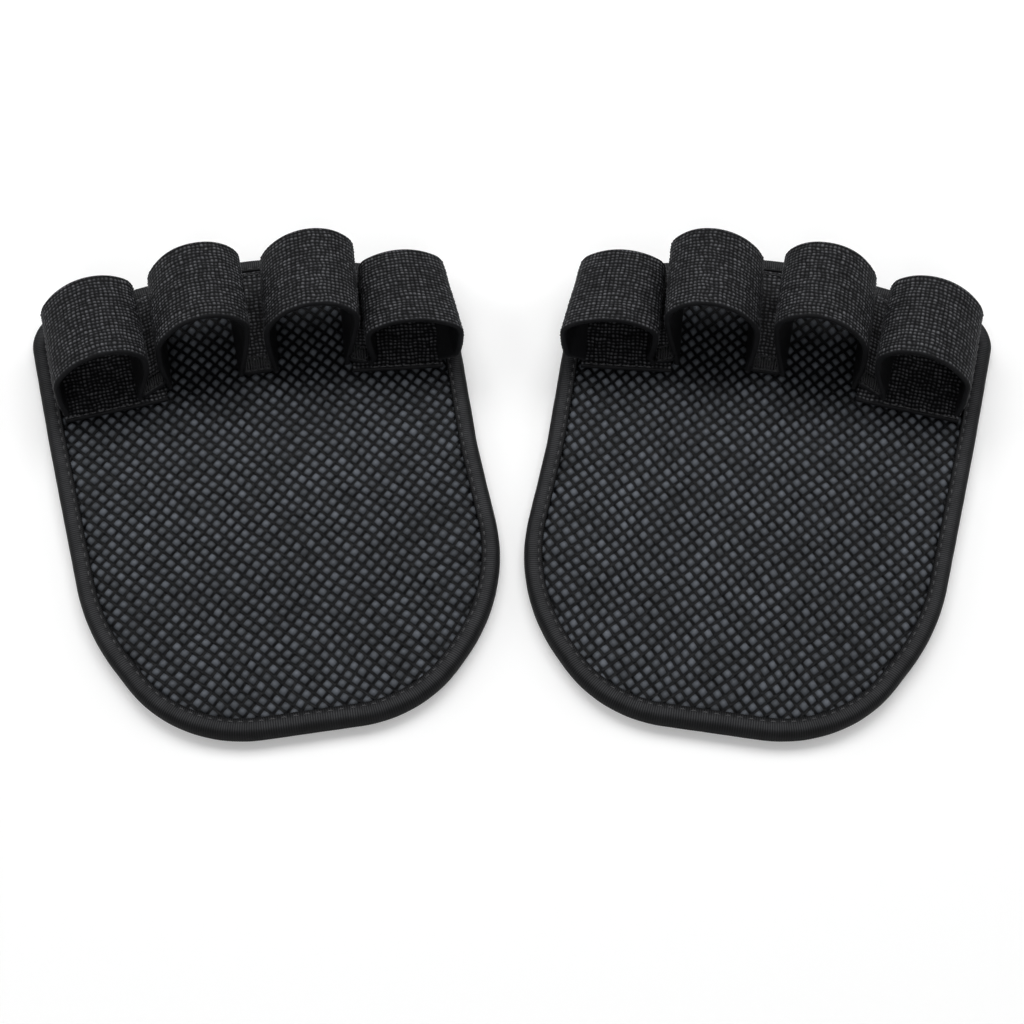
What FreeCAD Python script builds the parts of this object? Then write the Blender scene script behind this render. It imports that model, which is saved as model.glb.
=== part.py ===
import FreeCAD, Part
import math
import os
import Sketcher

# A pair of palm grips. Each grip is a flat padded pad with a folded edge binding and four finger loops made
# from one elastic strap. The left grip is modelled in its own plane, then placed; the right grip mirrors it.
# Pad plane: +X towards the little finger, +Y towards the fingertips, +Z out of the palm face.
# Row frame: origin on the floor, midway between the two grips, +Y towards the fingers, +Z up.

os.makedirs("parts", exist_ok=True)
doc = FreeCAD.newDocument("palm_grips")
vec = FreeCAD.Vector

# ---------------------------------------------------------------- driving dimensions (mm, degrees)
sizes = {
    # pad outline: corner points measured from the pad's origin
    "crest_across": 5.0, "crest_along": 70.0, "crest_round": 60.0,
    "index_corner_across": 52.5, "index_corner_along": 58.5, "index_corner_round": 11.0,
    "waist_across": 48.7, "waist_along": 20.8, "waist_round": 170.0,
    "hip_across": 42.4, "hip_along": 33.0, "hip_round": 60.0,
    "heel_along": 66.0,
    "heel_index_across": 23.7, "heel_index_round": 34.0,
    "heel_little_across": 32.3, "heel_little_round": 32.0,
    "lower_side_across": 57.0, "lower_side_along": 37.6, "lower_side_round": 49.0,
    "upper_side_across": 54.8, "upper_side_along": 3.4, "upper_side_round": 105.0,
    "little_corner_across": 55.0, "little_corner_along": 58.5, "little_corner_round": 8.5,
    # layers of the pad
    "tape_thick": 0.6, "tape_width": 4.3, "tape_slack": 0.1,
    "backing_thick": 0.6, "foam_thick": 2.0, "face_thick": 1.0,
    # seam thread
    "seam_inset": 3.5, "thread_width": 0.4, "thread_thick": 0.2,
    # elastic strap
    "strap_width": 26.0, "strap_thick": 1.3,
    "tail_lip": 1.4, "tail_clear": 0.2, "flat_clear": 0.8,
    # bartacks and the tails' stitch rows
    "tack_length": 4.3, "tack_thick": 0.5, "stitch_inset": 0.7,
    # where each grip lies
    "grip_across": 61.9, "grip_along": -1.48, "grip_turn": 9.0,
}

# Each loop: middle of its base's back edge (across, and below the crest), base and bulge widths, rise of the crown
# above the widest point, shoulder radius, front and back heights, how far the front and back crowns lean towards
# the fingertips, fan angle, and whether it stands on a folded tail.
loops = {
    "index": {"across": -37.1, "setback": 17.0, "base": 19.6, "bulge": 22.0, "crown_rise": 8.0,
              "shoulder": 5.5, "front_height": 19.4, "back_height": 17.3, "front_lean": 3.0, "back_lean": 2.5,
              "turn": 6.0, "on_tail": 1},
    "middle": {"across": -10.1, "setback": 12.3, "base": 19.2, "bulge": 22.0, "crown_rise": 8.5,
               "shoulder": 5.5, "front_height": 23.1, "back_height": 20.1, "front_lean": 3.5, "back_lean": 3.0,
               "turn": 2.0, "on_tail": 0},
    "ring": {"across": 18.4, "setback": 12.2, "base": 19.0, "bulge": 22.0, "crown_rise": 8.5,
             "shoulder": 5.5, "front_height": 22.9, "back_height": 20.0, "front_lean": 3.5, "back_lean": 3.0,
             "turn": -2.5, "on_tail": 0},
    "little": {"across": 42.8, "setback": 15.1, "base": 18.4, "bulge": 21.5, "crown_rise": 6.5,
               "shoulder": 4.5, "front_height": 17.0, "back_height": 12.0, "front_lean": 1.0, "back_lean": 0.5,
               "turn": -5.0, "on_tail": 1},
}
for finger, values in loops.items():
    for word, value in values.items():
        sizes[finger + "_" + word] = value

sheet = doc.addObject("Spreadsheet::Sheet", "Sizes")
for row, (alias, value) in enumerate(sizes.items(), start=1):
    sheet.set("A%d" % row, alias)
    sheet.set("B%d" % row, str(value))
    sheet.setAlias("B%d" % row, alias)
doc.recompute()


# heights of the stack, as expressions of the sheet
stack = "(Sizes.backing_thick + Sizes.foam_thick + Sizes.face_thick)"
face_top = "(Sizes.tape_thick + %s)" % stack
tape_top = "(%s + Sizes.tape_thick)" % face_top
tail_top = "(%s + Sizes.strap_thick)" % face_top
grip_place = ("placement(vector(-Sizes.grip_across; Sizes.grip_along; 0); "
              "rotation(vector(0; 0; 1); Sizes.grip_turn))")


def bind(target, **expressions):
    for name, expression in expressions.items():
        target.setExpression(name.replace("__", "."), expression)


# ---------------------------------------------------------------- pad outline
def outline_sketch():
    """Nine straight lines joined by tangent arcs; each line pair meets in a dimensioned corner point."""
    corners = [("little_corner", 1, 1), ("crest", 1, 1), ("index_corner", -1, 1), ("waist", -1, 1),
               ("hip", -1, -1), ("heel_index", -1, -1), ("heel_little", 1, -1), ("lower_side", 1, -1),
               ("upper_side", 1, 1)]
    along_cells = {"heel_index": "heel_along", "heel_little": "heel_along"}
    points = []
    for name, x_sign, y_sign in corners:
        along = along_cells.get(name, name + "_along")
        points.append(vec(x_sign * sizes[name + "_across"], y_sign * sizes[along], 0))
    sketch = doc.addObject("Sketcher::SketchObject", "PadOutline")
    starts, ends, arcs = [], [], []
    count = len(points)
    for index, point in enumerate(points):
        before = (points[index - 1] - point).normalize()
        after = (points[(index + 1) % count] - point).normalize()
        radius = sizes[corners[index][0] + "_round"]
        half = before.getAngle(after) / 2
        reach = radius / math.tan(half)
        middle = point + (before + after).normalize() * (radius / math.sin(half))
        first, last = point + before * reach, point + after * reach
        left_turn = (point - first).cross(last - point).z > 0
        if not left_turn:
            first, last = last, first
        angles = [math.atan2(p.y - middle.y, p.x - middle.x) for p in (first, last)]
        if angles[1] < angles[0]:
            angles[1] += 2 * math.pi
        circle = Part.Circle(middle, vec(0, 0, 1), radius)
        arcs.append((sketch.addGeometry(Part.ArcOfCircle(circle, angles[0], angles[1])), left_turn))
        starts.append(point + before * reach)
        ends.append(point + after * reach)
    lines = [sketch.addGeometry(Part.LineSegment(ends[i], starts[(i + 1) % count])) for i in range(count)]
    for index, (name, x_sign, y_sign) in enumerate(corners):
        arc, left_turn = arcs[index]
        line_in, line_out = lines[index - 1], lines[index]
        arc_in, arc_out = (1, 2) if left_turn else (2, 1)
        sketch.addConstraint(Sketcher.Constraint("Tangent", line_in, 2, arc, arc_in))
        sketch.addConstraint(Sketcher.Constraint("Tangent", arc, arc_out, line_out, 1))
        corner = sketch.addGeometry(Part.Point(points[index]), True)
        sketch.addConstraint(Sketcher.Constraint("PointOnObject", corner, 1, line_in))
        sketch.addConstraint(Sketcher.Constraint("PointOnObject", corner, 1, line_out))
        along = along_cells.get(name, name + "_along")
        rows = [("DistanceX", x_sign, name + "_across", "_x"), ("DistanceY", y_sign, along, "_y")]
        for kind, sign, alias, suffix in rows:
            row = sketch.addConstraint(Sketcher.Constraint(kind, -1, 1, corner, 1, sign * sizes[alias]))
            sketch.renameConstraint(row, name + suffix)
            sketch.setExpression("Constraints." + name + suffix, "%d * Sizes.%s" % (sign, alias))
        row = sketch.addConstraint(Sketcher.Constraint("Radius", arc, sizes[name + "_round"]))
        sketch.renameConstraint(row, name + "_r")
        sketch.setExpression("Constraints.%s_r" % name, "Sizes.%s_round" % name)
    return sketch


outline = outline_sketch()
doc.recompute()


def inset(name, amount):
    ring = doc.addObject("Part::Offset2D", name)
    ring.Source = outline
    ring.setExpression("Value", "-(%s)" % amount)
    return ring


def slab(name, base, bottom, thickness):
    """A closed outline raised by thickness, from the height bottom unless it is placed as a whole later."""
    block = doc.addObject("Part::Extrusion", name)
    block.Base = base
    block.DirMode = "Custom"
    block.Dir = vec(0, 0, 1)
    block.Solid = True
    block.setExpression("LengthFwd", thickness)
    if bottom is not None:
        block.setExpression("Placement.Base.z", bottom)
    return block


def cut(name, base, tool):
    piece = doc.addObject("Part::Cut", name)
    piece.Base = base
    piece.Tool = tool
    return piece


def place_on_grip(piece, local=""):
    """Carries a piece from the pad's plane to where the left grip lies."""
    piece.setExpression("Placement", grip_place + (" * " + local if local else ""))


# ---------------------------------------------------------------- padded pad
layer_edge = inset("LayerEdge", "Sizes.tape_thick + Sizes.tape_slack")
window_edge = inset("WindowEdge", "Sizes.tape_width")


def layer(label, bottom, thickness):
    block = slab(label, layer_edge, None, thickness)
    place_on_grip(block, "placement(vector(0; 0; %s); rotation(vector(0; 0; 1); 0))" % bottom)
    return block


backing = layer("backing_panel", "Sizes.tape_thick", "Sizes.backing_thick")
foam = layer("foam_core", "Sizes.tape_thick + Sizes.backing_thick", "Sizes.foam_thick")
face = layer("face_panel", "Sizes.tape_thick + Sizes.backing_thick + Sizes.foam_thick", "Sizes.face_thick")


def thread_ring(name, bottom, thickness):
    """A thin band that follows the outline at the seam's inset."""
    outer = inset(name + "Outer", "Sizes.seam_inset - Sizes.thread_width / 2")
    inner = inset(name + "Inner", "Sizes.seam_inset + Sizes.thread_width / 2")
    return cut(name, slab(name + "Band", outer, bottom, thickness), slab(name + "Hole", inner, bottom, thickness))


def edge_binding():
    """Tape folded round the layers: a C section that runs all round, grooved below for the back thread."""
    block = slab("TapeBlock", outline, "0", tape_top)
    pocket = slab("TapePocket", inset("TapeInside", "Sizes.tape_thick"), "Sizes.tape_thick", stack)
    window = slab("TapeWindow", window_edge, "-Sizes.tape_thick", "%s + 2 * Sizes.tape_thick" % tape_top)
    folded = cut("TapeWithWindow", cut("TapeFolded", block, pocket), window)
    groove = thread_ring("SeamGroove", "0", "Sizes.thread_thick")
    binding = cut("edge_binding", folded, groove)
    place_on_grip(binding)
    return binding


def binding_thread():
    """Needle thread on the tape's top and bobbin thread in the groove of its underside."""
    top = thread_ring("NeedleThread", tape_top, "Sizes.thread_thick")
    bottom = thread_ring("BobbinThread", "0", "Sizes.thread_thick")
    pair = doc.addObject("Part::Compound", "binding_thread")
    pair.Links = [top, bottom]
    place_on_grip(pair)
    return pair


binding = edge_binding()
threads = binding_thread()


# ---------------------------------------------------------------- finger loops
def loop_place(finger, across="0", along="0", up="0"):
    """Placement of a point given in a loop's own frame: origin at the middle of the base's back edge."""
    base = "placement(vector(Sizes.%s_across; Sizes.crest_along - Sizes.%s_setback; 0); " % (finger, finger)
    base += "rotation(vector(0; 0; 1); Sizes.%s_turn))" % finger
    return base + " * placement(vector(%s; %s; %s); rotation(vector(0; 0; 1); 0))" % (across, along, up)


def arch_points(half_base, half_bulge, tall, rise, shoulder):
    """Radii and centres of leg, shoulder and crown: leg and shoulder meet upright at the widest point."""
    flare, bulge_up = half_bulge - half_base, tall - rise
    leg = (bulge_up ** 2 + flare ** 2) / (2 * flare)
    inward = half_bulge - shoulder
    crown = (inward ** 2 + rise ** 2 - shoulder ** 2) / (2 * (rise - shoulder))
    middles = [vec(leg - half_bulge, bulge_up, 0), vec(-inward, bulge_up, 0), vec(0, tall - crown, 0)]
    return [leg, shoulder, crown], middles


def arch_sketch(body, finger, end):
    """Section of a loop: outer arch of five tangent arcs, a concentric inner arch, and two flat feet."""
    plane = [o for o in body.Origin.OriginFeatures if o.Role == "XZ_Plane"][0]
    sketch = body.newObject("Sketcher::SketchObject", finger.capitalize() + end.capitalize() + "Arch")
    sketch.AttachmentSupport = [(plane, "")]
    sketch.MapMode = "FlatFace"
    lean = "Sizes.%s_%s_lean" % (finger, end)
    height = "Sizes.%s_%s_height" % (finger, end)
    sketch.AttachmentOffset = FreeCAD.Placement(vec(0, 0, 0), FreeCAD.Rotation(vec(1, 0, 0), -1))
    sketch.setExpression("AttachmentOffset.Rotation.Angle", "-atan(%s / %s)" % (lean, height))
    if end == "front":
        sketch.setExpression("AttachmentOffset.Base.z", "Sizes.strap_width")
    thick = sizes["strap_thick"]
    tall = math.hypot(sizes["%s_%s_height" % (finger, end)], sizes["%s_%s_lean" % (finger, end)])
    radii, middles = arch_points(sizes[finger + "_base"] / 2, sizes[finger + "_bulge"] / 2, tall,
                                 sizes[finger + "_crown_rise"], sizes[finger + "_shoulder"])
    side = math.atan2(middles[1].y - middles[2].y, middles[1].x - middles[2].x)
    radii += radii[1::-1]
    middles += [vec(-middle.x, middle.y, 0) for middle in middles[1::-1]]
    arches = []
    for inward in (0, thick):
        foot = math.asin(middles[0].y / (radii[0] - inward))
        spans = [(math.pi, math.pi + foot), (side, math.pi), (math.pi - side, side), (0, math.pi - side),
                 (-foot, 0)]
        arch = []
        for middle, radius, (start, stop) in zip(middles, radii, spans):
            circle = Part.Circle(middle, vec(0, 0, 1), radius - inward)
            arch.append(sketch.addGeometry(Part.ArcOfCircle(circle, start, stop)))
        arches.append(arch)
    outer, inner = arches
    add = sketch.addConstraint
    for arch in arches:
        for later, earlier in zip(arch[:-1], arch[1:]):
            add(Sketcher.Constraint("Tangent", later, 1, earlier, 2))
    for outside, inside in zip(outer, inner):
        add(Sketcher.Constraint("Coincident", outside, 3, inside, 3))
    ends = [(outer[0], inner[0], 2), (outer[4], inner[4], 1)]
    for outside, inside, vertex in ends:
        a, b = sketch.getPoint(outside, vertex), sketch.getPoint(inside, vertex)
        foot = sketch.addGeometry(Part.LineSegment(a, b))
        add(Sketcher.Constraint("Coincident", outside, vertex, foot, 1))
        add(Sketcher.Constraint("Coincident", inside, vertex, foot, 2))
        add(Sketcher.Constraint("PointOnObject", foot, 1, -1))
        add(Sketcher.Constraint("PointOnObject", foot, 2, -1))
    add(Sketcher.Constraint("Symmetric", outer[0], 3, outer[4], 3, -2))
    add(Sketcher.Constraint("Equal", outer[0], outer[4]))
    add(Sketcher.Constraint("PointOnObject", outer[2], 3, -2))
    add(Sketcher.Constraint("Equal", outer[1], outer[3]))
    crown_point = sketch.addGeometry(Part.Point(vec(0, tall, 0)), True)
    add(Sketcher.Constraint("PointOnObject", crown_point, 1, -2))
    add(Sketcher.Constraint("PointOnObject", crown_point, 1, outer[2]))
    half = "(Sizes.%s_bulge / 2)" % finger
    slope = "sqrt(%s ^ 2 + %s ^ 2)" % (height, lean)
    bulge_up = "(%s - Sizes.%s_crown_rise)" % (slope, finger)
    flare = "((Sizes.%s_bulge - Sizes.%s_base) / 2)" % (finger, finger)
    leg_size = "((%s ^ 2 + %s ^ 2) / (2 * %s))" % (bulge_up, flare, flare)
    named = [
        ("leg_across", Sketcher.Constraint("DistanceX", -1, 1, outer[0], 3, middles[0].x),
         leg_size + " - " + half),
        ("leg_up", Sketcher.Constraint("DistanceY", -1, 1, outer[0], 3, middles[0].y), bulge_up),
        ("leg_radius", Sketcher.Constraint("Radius", outer[0], radii[0]), leg_size),
        ("leg_inside", Sketcher.Constraint("Radius", inner[0], radii[0] - thick),
         leg_size + " - Sizes.strap_thick"),
        ("shoulder_radius", Sketcher.Constraint("Radius", outer[1], radii[1]), "Sizes.%s_shoulder" % finger),
        ("shoulder_up", Sketcher.Constraint("DistanceY", -1, 1, outer[1], 3, middles[1].y), bulge_up),
        ("crown_top", Sketcher.Constraint("DistanceY", -1, 1, crown_point, 1, tall), slope),
    ]
    for name, constraint, expression in named:
        row = add(constraint)
        sketch.renameConstraint(row, name)
        sketch.setExpression("Constraints." + name, expression)
    return sketch


def finger_loop(finger):
    """One arch of the strap: lofted from its front section to its lower back section."""
    body = doc.addObject("PartDesign::Body", finger + "_loop")
    front = arch_sketch(body, finger, "front")
    back = arch_sketch(body, finger, "back")
    doc.recompute()
    loft = body.newObject("PartDesign::AdditiveLoft", finger.capitalize() + "Band")
    loft.Profile = front
    loft.Sections = [back]
    loft.Ruled = True
    body.Tip = loft
    up = "(%s + Sizes.%s_on_tail * Sizes.strap_thick)" % (face_top, finger)
    place_on_grip(body, loop_place(finger, up=up))
    return body


finger_loops = [finger_loop(finger) for finger in loops]


# ---------------------------------------------------------------- strap tails, flats, bartacks, tail stitches
def strap_block(name, place, across, along, up):
    block = doc.addObject("Part::Box", name)
    bind(block, Length=across, Width=along, Height=up, Placement=place)
    return block


# The gap between two loops: named by the finger before it and the finger after it.
gaps = [("index", "middle"), ("middle", "ring"), ("ring", "little")]


def gap_width(first, second):
    """Gap between two loops at their front feet, where the fan brings them closest."""
    return ("(Sizes.%s_across - Sizes.%s_base / 2 - Sizes.%s_across - Sizes.%s_base / 2"
            " - Sizes.strap_width * sin(Sizes.%s_turn - Sizes.%s_turn))"
            % (second, second, first, first, first, second))


def tail(finger):
    """Folded end of the strap: the outer loop's floor, reaching under the first gap, kept inside the binding."""
    gap = gap_width("index", "middle") if finger == "index" else gap_width("ring", "little")
    reach = "(%s - Sizes.flat_clear)" % gap
    wide = "Sizes.%s_base + %s" % (finger, reach)
    start = "-Sizes.%s_base / 2" % finger
    if finger == "little":
        start += " - " + reach
    place = loop_place(finger, start, "-Sizes.strap_width - Sizes.tail_lip", face_top)
    block = strap_block(finger.capitalize() + "TailBlock", place, wide, "Sizes.strap_width + Sizes.tail_lip",
                        "Sizes.strap_thick")
    zone = slab(finger.capitalize() + "TailZone", inset(finger.capitalize() + "TailEdge",
                "Sizes.tape_width + Sizes.tail_clear"), face_top, "Sizes.strap_thick")
    piece = doc.addObject("Part::Common", finger + "_tail")
    piece.Base = block
    piece.Tool = zone
    place_on_grip(piece)
    return piece


tails = [tail("index"), tail("little")]


def gap_place(first, second, up):
    """Start of a gap's flat: beside the first loop's front foot, turned halfway between the two loops."""
    turn = "(Sizes.%s_turn + Sizes.%s_turn) / 2" % (first, second)
    across = ("(Sizes.%s_across + Sizes.%s_base / 2 + Sizes.%s_across - Sizes.%s_base / 2) / 2"
              % (first, first, second, second))
    along = "Sizes.crest_along - (Sizes.%s_setback + Sizes.%s_setback) / 2" % (first, second)
    half = "-(%s) / 2" % flat_width(first, second)
    return ("placement(vector(%s; %s; 0); rotation(vector(0; 0; 1); %s))"
            " * placement(vector(%s; -Sizes.strap_width; %s); rotation(vector(0; 0; 1); 0))"
            % (across, along, turn, half, up))


def flat_width(first, second):
    return "(%s - 2 * Sizes.flat_clear)" % gap_width(first, second)


def gap_group(label, up_over, length, height):
    """One block in each gap, joined in one group."""
    blocks = []
    for first, second in gaps:
        on_tail = "index" in (first, second) or "little" in (first, second)
        up = "(%s + %s)" % (tail_top if on_tail else face_top, up_over)
        name = label.title().replace("_", "") + first.capitalize()
        blocks.append(strap_block(name, gap_place(first, second, up), flat_width(first, second), length, height))
    group = doc.addObject("Part::Compound", label)
    group.Links = blocks
    place_on_grip(group)
    return group


flats = gap_group("strap_flats", "0", "Sizes.strap_width", "Sizes.strap_thick")
tacks = gap_group("bartacks", "Sizes.strap_thick", "Sizes.tack_length", "Sizes.tack_thick")


def tail_stitches():
    """A row of thread along the front lip of each tail."""
    rows = []
    for finger in ("index", "little"):
        start = "-Sizes.%s_base / 2 + Sizes.stitch_inset" % finger
        along = "-Sizes.strap_width - Sizes.tail_lip + Sizes.stitch_inset - Sizes.thread_width / 2"
        place = loop_place(finger, start, along, tail_top)
        wide = "Sizes.%s_base - 2 * Sizes.stitch_inset" % finger
        rows.append(strap_block(finger.capitalize() + "StitchRow", place, wide, "Sizes.thread_width",
                                "Sizes.thread_thick"))
    group = doc.addObject("Part::Compound", "tail_stitches")
    group.Links = rows
    place_on_grip(group)
    return group


stitches = tail_stitches()
doc.recompute()

# ---------------------------------------------------------------- both grips
left_pieces = [face, foam, backing, binding, threads] + finger_loops + tails + [flats, tacks, stitches]
nodes = []
for piece in left_pieces:
    word = piece.Name
    piece.Label = "left_" + word
    mirrored = doc.addObject("Part::Mirroring", "right_" + word)
    mirrored.Source = piece
    mirrored.Base = vec(0, 0, 0)
    mirrored.Normal = vec(1, 0, 0)
    mirrored.Label = "right_" + word
    nodes += [piece, mirrored]
doc.recompute()

# ---------------------------------------------------------------- checks and files
for thing in doc.Objects:
    faults = [word for word in thing.State if word in ("Invalid", "Error")]
    if faults:
        raise RuntimeError("%s failed: %s" % (thing.Name, thing.getStatusString()))
whole = FreeCAD.BoundBox()
for node in nodes:
    shape = node.Shape
    if shape.isNull() or not shape.isValid() or not shape.Solids:
        raise RuntimeError("bad shape: " + node.Label)
    whole.add(shape.BoundBox)
    box = shape.BoundBox
    print("%-22s solids %d volume %9.2f x %7.2f..%7.2f y %7.2f..%7.2f z %6.2f..%6.2f"
          % (node.Label, len(shape.Solids), shape.Volume, box.XMin, box.XMax, box.YMin, box.YMax, box.ZMin,
             box.ZMax))
    shape.exportStep("parts/%s.step" % node.Label)
print("whole %.2f x %.2f x %.2f, y centre %.3f, z from %.3f" % (whole.XLength, whole.YLength, whole.ZLength,
                                                               whole.Center.y, whole.ZMin))
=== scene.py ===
import bpy
import math
import numpy as np
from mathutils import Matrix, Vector


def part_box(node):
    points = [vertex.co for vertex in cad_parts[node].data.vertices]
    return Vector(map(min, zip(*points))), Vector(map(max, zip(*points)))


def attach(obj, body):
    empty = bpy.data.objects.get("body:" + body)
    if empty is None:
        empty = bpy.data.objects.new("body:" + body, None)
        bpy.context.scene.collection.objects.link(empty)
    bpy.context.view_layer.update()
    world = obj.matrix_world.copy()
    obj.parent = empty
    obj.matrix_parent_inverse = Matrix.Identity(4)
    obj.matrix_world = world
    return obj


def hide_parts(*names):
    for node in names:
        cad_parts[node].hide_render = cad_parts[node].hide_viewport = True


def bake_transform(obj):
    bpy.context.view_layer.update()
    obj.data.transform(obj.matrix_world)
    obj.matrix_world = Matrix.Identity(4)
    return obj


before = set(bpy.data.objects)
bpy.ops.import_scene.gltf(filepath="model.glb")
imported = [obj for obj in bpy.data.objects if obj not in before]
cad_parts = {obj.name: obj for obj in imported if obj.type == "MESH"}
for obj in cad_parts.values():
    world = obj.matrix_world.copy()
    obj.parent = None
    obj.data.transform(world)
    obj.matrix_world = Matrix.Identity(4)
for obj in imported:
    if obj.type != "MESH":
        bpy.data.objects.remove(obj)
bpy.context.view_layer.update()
mm = 0.001
print("frame loaded:", len(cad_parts), "nodes")


# where the grips lie; the pad plane is +X to the little finger, +Y to the fingertips, millimetres
grip = {"turn": 9.0}

# pad outline, anticlockwise: corner across, corner along, rounding radius
outline = {
    "littleCorner": (55.0, 58.5, 8.5),
    "crest": (5.0, 70.0, 60.0),
    "indexCorner": (-52.5, 58.5, 11.0),
    "waist": (-48.7, 20.8, 170.0),
    "hip": (-42.4, -33.0, 60.0),
    "heelIndex": (-23.7, -66.0, 34.0),
    "heelLittle": (32.3, -66.0, 32.0),
    "lowerSide": (57.0, -37.6, 49.0),
    "upperSide": (54.8, 3.4, 105.0),
}


# Straight runs and tangent arcs: each corner's arc starts and ends at radius / tan(half angle) from it.
def outlineSegments():
    corner = np.array([c[:2] for c in outline.values()])
    radius = np.array([c[2] for c in outline.values()])
    toBefore = np.roll(corner, 1, axis=0) - corner
    toAfter = np.roll(corner, -1, axis=0) - corner
    toBefore /= np.linalg.norm(toBefore, axis=1)[:, None]
    toAfter /= np.linalg.norm(toAfter, axis=1)[:, None]
    half = np.arccos(np.clip((toBefore * toAfter).sum(1), -1, 1)) / 2
    reach = radius / np.tan(half)
    bisector = toBefore + toAfter
    bisector /= np.linalg.norm(bisector, axis=1)[:, None]
    centre = corner + bisector * (radius / np.sin(half))[:, None]
    arcStart, arcEnd = corner + toBefore * reach[:, None], corner + toAfter * reach[:, None]
    way = np.sign(toAfter[:, 0] * toBefore[:, 1] - toAfter[:, 1] * toBefore[:, 0])
    startAngle = np.arctan2(arcStart[:, 1] - centre[:, 1], arcStart[:, 0] - centre[:, 0])
    arcLength = radius * (math.pi - 2 * half)
    lineLength = np.linalg.norm(np.roll(arcStart, -1, axis=0) - arcEnd, axis=1)
    return centre, radius, way, startAngle, arcLength, arcEnd, toAfter, lineLength


# Point and outward normal at each distance along the outline, which runs anticlockwise.
def outlineAt(distance):
    centre, radius, way, startAngle, arcLength, arcEnd, toAfter, lineLength = outlineSegments()
    ends = np.cumsum(arcLength + lineLength)
    d = np.mod(distance, ends[-1])
    i = np.minimum(np.searchsorted(ends, d, side="right"), len(ends) - 1)
    into = d - (ends[i] - arcLength[i] - lineLength[i])
    onArc = into < arcLength[i]
    angle = startAngle[i] + way[i] * into / radius[i]
    outArc = np.stack([np.cos(angle), np.sin(angle)], axis=1)
    arcPoint = centre[i] + outArc * radius[i][:, None]
    linePoint = arcEnd[i] + toAfter[i] * (into - arcLength[i])[:, None]
    lineNormal = np.stack([toAfter[i][:, 1], -toAfter[i][:, 0]], axis=1)
    point = np.where(onArc[:, None], arcPoint, linePoint)
    normal = np.where(onArc[:, None], outArc * way[i][:, None], lineNormal)
    return point, normal


perimeter = float(sum(part.sum() for part in (outlineSegments()[4], outlineSegments()[7])))


# Pad plane turned by the grip's angle about the vertical.
def turned(points):
    a = math.radians(grip["turn"])
    x = points[..., 0] * math.cos(a) - points[..., 1] * math.sin(a)
    y = points[..., 0] * math.sin(a) + points[..., 1] * math.cos(a)
    return np.stack([x, y, points[..., 2]], axis=-1)


# Offset that brings the turned outline's box onto the left binding's box.
def gripShift():
    ring = outlineAt(np.linspace(0, perimeter, 4000))[0]
    flat = turned(np.column_stack([ring, np.zeros(len(ring))]))
    low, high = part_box("left_edge_binding")
    middle = (flat.max(0) + flat.min(0)) / 2
    return np.array([(low.x + high.x) / 2 / mm - middle[0], (low.y + high.y) / 2 / mm - middle[1], 0.0])


shift = gripShift()
print("grip origin at", np.round(shift, 2), "mm")

# heights in the pad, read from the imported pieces
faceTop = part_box("left_face_panel")[1].z / mm
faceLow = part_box("left_face_panel")[0].z / mm
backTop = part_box("left_backing_panel")[1].z / mm
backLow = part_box("left_backing_panel")[0].z / mm
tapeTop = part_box("left_edge_binding")[1].z / mm


# Pad plane to row frame in metres; the right grip mirrors the left one.
def placed(points, side):
    world = (turned(points) + shift) * mm
    if side == "right":
        world = world * np.array([-1.0, 1.0, 1.0])
    return world


# Mesh from points in the pad plane and faces as index rows; uv and shades are per point.
def makeMesh(name, points, faces, side, body, nodes, uv=None, shades=None):
    world = placed(points, side)
    rows = [np.asarray(f)[:, ::-1] if side == "right" else np.asarray(f) for f in faces]
    loops = np.concatenate([f.ravel() for f in rows]).astype(np.int32)
    sizesOfRows = np.concatenate([np.full(len(f), f.shape[1]) for f in rows]).astype(np.int32)
    mesh = bpy.data.meshes.new(name)
    mesh.vertices.add(len(world))
    mesh.vertices.foreach_set("co", world.astype(np.float32).ravel())
    mesh.loops.add(len(loops))
    mesh.loops.foreach_set("vertex_index", loops)
    mesh.polygons.add(len(sizesOfRows))
    starts = np.concatenate([[0], np.cumsum(sizesOfRows)[:-1]])
    mesh.polygons.foreach_set("loop_start", starts.astype(np.int32))
    mesh.update(calc_edges=True)
    mesh.polygons.foreach_set("use_smooth", np.ones(len(sizesOfRows), bool))
    if uv is not None:
        layer = mesh.uv_layers.new(name="weave")
        layer.data.foreach_set("uv", uv[loops].astype(np.float32).ravel())
    for word, values in (shades or {}).items():
        attribute = mesh.attributes.new(word, "FLOAT", "POINT")
        attribute.data.foreach_set("value", values.astype(np.float32))
    mesh.validate()
    piece = bpy.data.objects.new(name, mesh)
    bpy.context.scene.collection.objects.link(piece)
    if body:
        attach(piece, body)
    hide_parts(*nodes)
    return piece


# Quads of a rows by columns grid of points, wrapped round where a direction closes on itself.
def gridFaces(rows, columns, closeRows=False, closeColumns=False):
    i = np.arange(rows if closeRows else rows - 1)[:, None]
    j = np.arange(columns if closeColumns else columns - 1)[None, :]
    nextI, nextJ = (i + 1) % rows, (j + 1) % columns
    quad = [i * columns + j, nextI * columns + j, nextI * columns + nextJ, i * columns + nextJ]
    return np.stack([np.broadcast_to(q, (i.shape[0], j.shape[1])).ravel() for q in quad], axis=1)


# Smooth step: 3 t squared minus 2 t cubed of x between the edges.
def smooth(edge0, edge1, x):
    t = np.clip((x - edge0) / (edge1 - edge0), 0, 1)
    return t * t * (3 - 2 * t)


# Gentle unevenness: a few sines of random direction and phase, wavelength about size.
def waves(x, y, seed, size):
    draw = np.random.default_rng(seed)
    total = np.zeros(np.broadcast(x, y).shape)
    for _ in range(5):
        angle, phase = draw.uniform(0, 2 * math.pi, 2)
        wave = 2 * math.pi / (size * draw.uniform(0.7, 1.5))
        total = total + np.sin(wave * (x * math.cos(angle) + y * math.sin(angle)) + phase)
    return total / 5


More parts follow.
